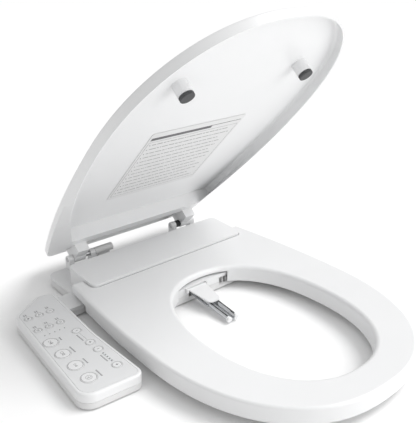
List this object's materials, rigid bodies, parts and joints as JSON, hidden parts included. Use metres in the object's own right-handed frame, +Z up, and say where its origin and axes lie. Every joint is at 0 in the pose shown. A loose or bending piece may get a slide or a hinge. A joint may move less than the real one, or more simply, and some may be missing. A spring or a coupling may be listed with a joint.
{
  "type": "electric bidet toilet seat",
  "caption": "White electric bidet seat with a heated ring, a half-raised dished lid, a retracting twin wash nozzle and a side control arm with round keys.",
  "frame": {"origin": "middle of the bolt line on the underside of the mounting plate, where it rests on the bowl", "axes": "+X to the left of the sitter, -Y toward the front of the seat, +Z up"},
  "size_m": [0.4701, 0.5695, 0.4513],
  "materials": {
    "white_gloss": "polished white polypropylene with a soft sheen",
    "white_satin": "satin white polypropylene",
    "grey_plastic": "plain grey moulded plastic",
    "dark_plastic": "dark moulded plastic",
    "black_rubber": "dark matt rubber",
    "grey_rubber": "pale grey soft rubber",
    "chrome": "polished plated tube",
    "steel": "turned steel",
    "foil": "matt foil heating element",
    "gear_plastic": "unfilled acetal",
    "circuit_board": "coated circuit board",
    "panel_film": "printed polycarbonate film with fine grey marks",
    "light_strip": "frosted light guide",
    "label_film": "white film with plain grey bars"
  },
  "bodies": {
    "housing": {"rear_cover": "white_gloss", "base_chassis": "white_satin", "mounting_plate": "grey_plastic", "base_foot_left": "black_rubber", "base_foot_right": "black_rubber", "main_board": "circuit_board", "heater_tank": "grey_plastic", "inlet_valve": "grey_plastic", "inlet_fitting": "steel", "cord_gland": "dark_plastic", "dryer_fan": "dark_plastic", "dryer_duct": "white_satin", "deodoriser_cartridge": "dark_plastic", "rear_wash_motor": "steel", "front_wash_motor": "steel", "nozzle_guide": "white_satin", "seat_pin_left": "steel", "seat_pin_right": "steel", "seat_damper": "dark_plastic", "lid_hinge_bush": "dark_plastic", "lid_pin_left": "steel", "lid_pin_right": "steel", "lid_damper": "white_satin", "arm_lower_shell": "white_satin", "arm_upper_shell": "white_gloss", "panel_overlay": "panel_film", "control_board": "circuit_board", "level_light_strip": "light_strip"},
    "lid": {"lid_shell": "white_gloss", "lid_pad_left": "black_rubber", "lid_pad_right": "black_rubber", "lid_label": "label_film"},
    "seat": {"seat_ring_top": "white_gloss", "seat_ring_base": "white_satin", "seat_heater": "foil", "seat_bumper_front_left": "grey_rubber", "seat_bumper_front_right": "grey_rubber", "seat_bumper_rear_left": "grey_rubber", "seat_bumper_rear_right": "grey_rubber"},
    "rear_wash": {"rear_wash_tube": "chrome"},
    "front_wash": {"front_wash_tube": "chrome"},
    "rear_pinion": {"rear_wash_pinion": "gear_plastic"},
    "front_pinion": {"front_wash_pinion": "gear_plastic"},
    "hood": {"nozzle_flap": "white_gloss"},
    "release": {"release_button": "grey_plastic"},
    "key_stop": {"key_stop": "white_gloss"},
    "key_massage": {"key_massage": "white_gloss"},
    "key_move": {"key_move": "white_gloss"},
    "key_dry": {"key_dry": "white_gloss"},
    "key_power": {"key_power": "white_gloss"},
    "key_light": {"key_light": "white_gloss"},
    "key_rear_wash": {"key_rear_wash": "white_gloss"},
    "key_front_wash": {"key_front_wash": "white_gloss"},
    "key_kids_wash": {"key_kids_wash": "white_gloss"},
    "key_auto_wash": {"key_auto_wash": "white_gloss"},
    "key_water_minus": {"key_water_minus": "white_gloss"},
    "key_water_plus": {"key_water_plus": "white_gloss"},
    "key_seat_minus": {"key_seat_minus": "white_gloss"},
    "key_seat_plus": {"key_seat_plus": "white_gloss"}
  },
  "joints": [
    {"name": "lid_hinge", "type": "hinge", "parent": "housing", "child": "lid", "pos_m": [0, 0.054, 0.034], "axis": [-1, 0, 0], "range_deg": [-48, 52]},
    {"name": "seat_hinge", "type": "hinge", "parent": "housing", "child": "seat", "pos_m": [0, -0.038, 0.034], "axis": [-1, 0, 0], "range_deg": [0, 54]},
    {"name": "rear_wash_slide", "type": "slide", "parent": "housing", "child": "rear_wash", "axis": [0, 0.9936, 0.1132], "range_m": [0, 0.078]},
    {"name": "front_wash_slide", "type": "slide", "parent": "housing", "child": "front_wash", "axis": [0, 0.9936, 0.1132], "range_m": [0, 0.078]},
    {"name": "rear_pinion_spin", "type": "hinge", "parent": "housing", "child": "rear_pinion", "pos_m": [-0.02923, -0.08827, 0.02075], "axis": [0, -0.1132, 0.9936], "range_deg": [0, 800]},
    {"name": "front_pinion_spin", "type": "hinge", "parent": "housing", "child": "front_pinion", "pos_m": [0.00523, -0.08827, 0.02075], "axis": [0, -0.1132, 0.9936], "range_deg": [-800, 0]},
    {"name": "hood_hinge", "type": "hinge", "parent": "housing", "child": "hood", "pos_m": [-0.012, -0.1326, 0.0235], "axis": [-1, 0, 0], "range_deg": [0, 25]},
    {"name": "release_press", "type": "slide", "parent": "housing", "child": "release", "axis": [-1, 0, 0], "range_m": [0, 0.003], "stiffness_N_per_m": 600},
    {"name": "key_stop_press", "type": "slide", "parent": "housing", "child": "key_stop", "axis": [0, 0, -1], "range_m": [0, 0.0006], "stiffness_N_per_m": 800},
    {"name": "key_massage_press", "type": "slide", "parent": "housing", "child": "key_massage", "axis": [0, 0, -1], "range_m": [0, 0.0006], "stiffness_N_per_m": 800},
    {"name": "key_move_press", "type": "slide", "parent": "housing", "child": "key_move", "axis": [0, 0, -1], "range_m": [0, 0.0006], "stiffness_N_per_m": 800},
    {"name": "key_dry_press", "type": "slide", "parent": "housing", "child": "key_dry", "axis": [0, 0, -1], "range_m": [0, 0.0006], "stiffness_N_per_m": 800},
    {"name": "key_power_press", "type": "slide", "parent": "housing", "child": "key_power", "axis": [0, 0, -1], "range_m": [0, 0.0006], "stiffness_N_per_m": 800},
    {"name": "key_light_press", "type": "slide", "parent": "housing", "child": "key_light", "axis": [0, 0, -1], "range_m": [0, 0.0006], "stiffness_N_per_m": 800},
    {"name": "key_rear_wash_press", "type": "slide", "parent": "housing", "child": "key_rear_wash", "axis": [0, 0, -1], "range_m": [0, 0.0006], "stiffness_N_per_m": 800},
    {"name": "key_front_wash_press", "type": "slide", "parent": "housing", "child": "key_front_wash", "axis": [0, 0, -1], "range_m": [0, 0.0006], "stiffness_N_per_m": 800},
    {"name": "key_kids_wash_press", "type": "slide", "parent": "housing", "child": "key_kids_wash", "axis": [0, 0, -1], "range_m": [0, 0.0006], "stiffness_N_per_m": 800},
    {"name": "key_auto_wash_press", "type": "slide", "parent": "housing", "child": "key_auto_wash", "axis": [0, 0, -1], "range_m": [0, 0.0006], "stiffness_N_per_m": 800},
    {"name": "key_water_minus_press", "type": "slide", "parent": "housing", "child": "key_water_minus", "axis": [0, 0, -1], "range_m": [0, 0.0006], "stiffness_N_per_m": 800},
    {"name": "key_water_plus_press", "type": "slide", "parent": "housing", "child": "key_water_plus", "axis": [0, 0, -1], "range_m": [0, 0.0006], "stiffness_N_per_m": 800},
    {"name": "key_seat_minus_press", "type": "slide", "parent": "housing", "child": "key_seat_minus", "axis": [0, 0, -1], "range_m": [0, 0.0006], "stiffness_N_per_m": 800},
    {"name": "key_seat_plus_press", "type": "slide", "parent": "housing", "child": "key_seat_plus", "axis": [0, 0, -1], "range_m": [0, 0.0006], "stiffness_N_per_m": 800}
  ],
  "couplings": [
    {"joint": "rear_pinion_spin", "follows": "rear_wash_slide", "rad_per_m": 174.53},
    {"joint": "front_pinion_spin", "follows": "front_wash_slide", "rad_per_m": -174.53}
  ]
}
